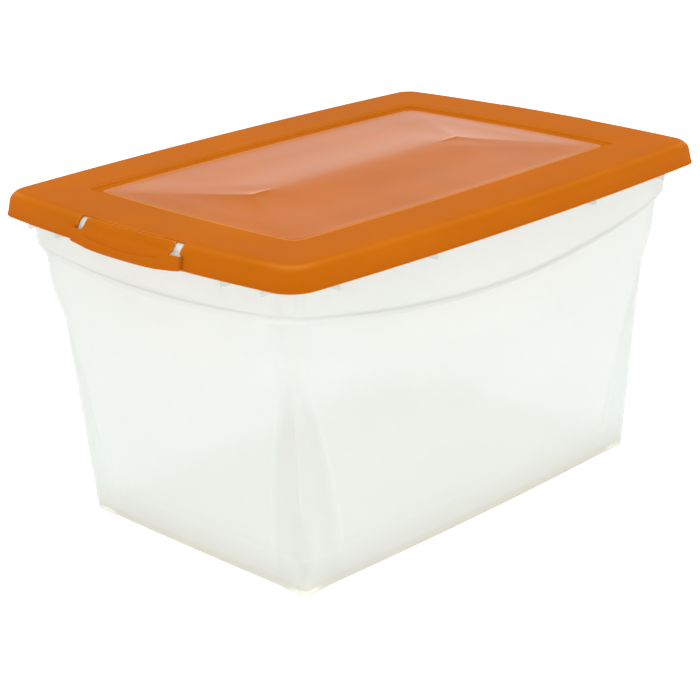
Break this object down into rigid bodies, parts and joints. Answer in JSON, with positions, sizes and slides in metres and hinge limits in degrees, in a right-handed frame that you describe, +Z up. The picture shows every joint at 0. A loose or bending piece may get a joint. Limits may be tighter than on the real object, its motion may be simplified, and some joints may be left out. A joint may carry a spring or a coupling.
{
  "type": "stackable storage bin",
  "caption": "Stackable see-through storage bin: a tapered moulded tub with ribbed rim and a clip-on lid with a hinged latch flap on each short end.",
  "frame": {"origin": "middle of the plane that the four feet rest on", "axes": "+X along the long side, +Y across the bin, +Z up through the lid"},
  "size_m": [0.6188, 0.434, 0.338],
  "materials": {
    "clear_plastic": "translucent natural polypropylene, glossy with a faint haze",
    "lid_plastic": "opaque moulded polypropylene with a fine satin grain and a polished centre panel"
  },
  "bodies": {
    "tub": {"tub": "clear_plastic"},
    "lid": {"lid": "lid_plastic"},
    "left_flap": {"left_latch_flap": "lid_plastic"},
    "right_flap": {"right_latch_flap": "lid_plastic"}
  },
  "joints": [
    {"name": "lid_lift", "type": "slide", "parent": "tub", "child": "lid", "axis": [0, 0, 1], "range_m": [0, 0.3]},
    {"name": "left_flap_hinge", "type": "hinge", "parent": "lid", "child": "left_flap", "pos_m": [-0.2965, 0, 0.33522], "axis": [0, 1, 0], "range_deg": [0, 30]},
    {"name": "right_flap_hinge", "type": "hinge", "parent": "lid", "child": "right_flap", "pos_m": [0.2965, 0, 0.33522], "axis": [0, -1, 0], "range_deg": [0, 30]}
  ]
}
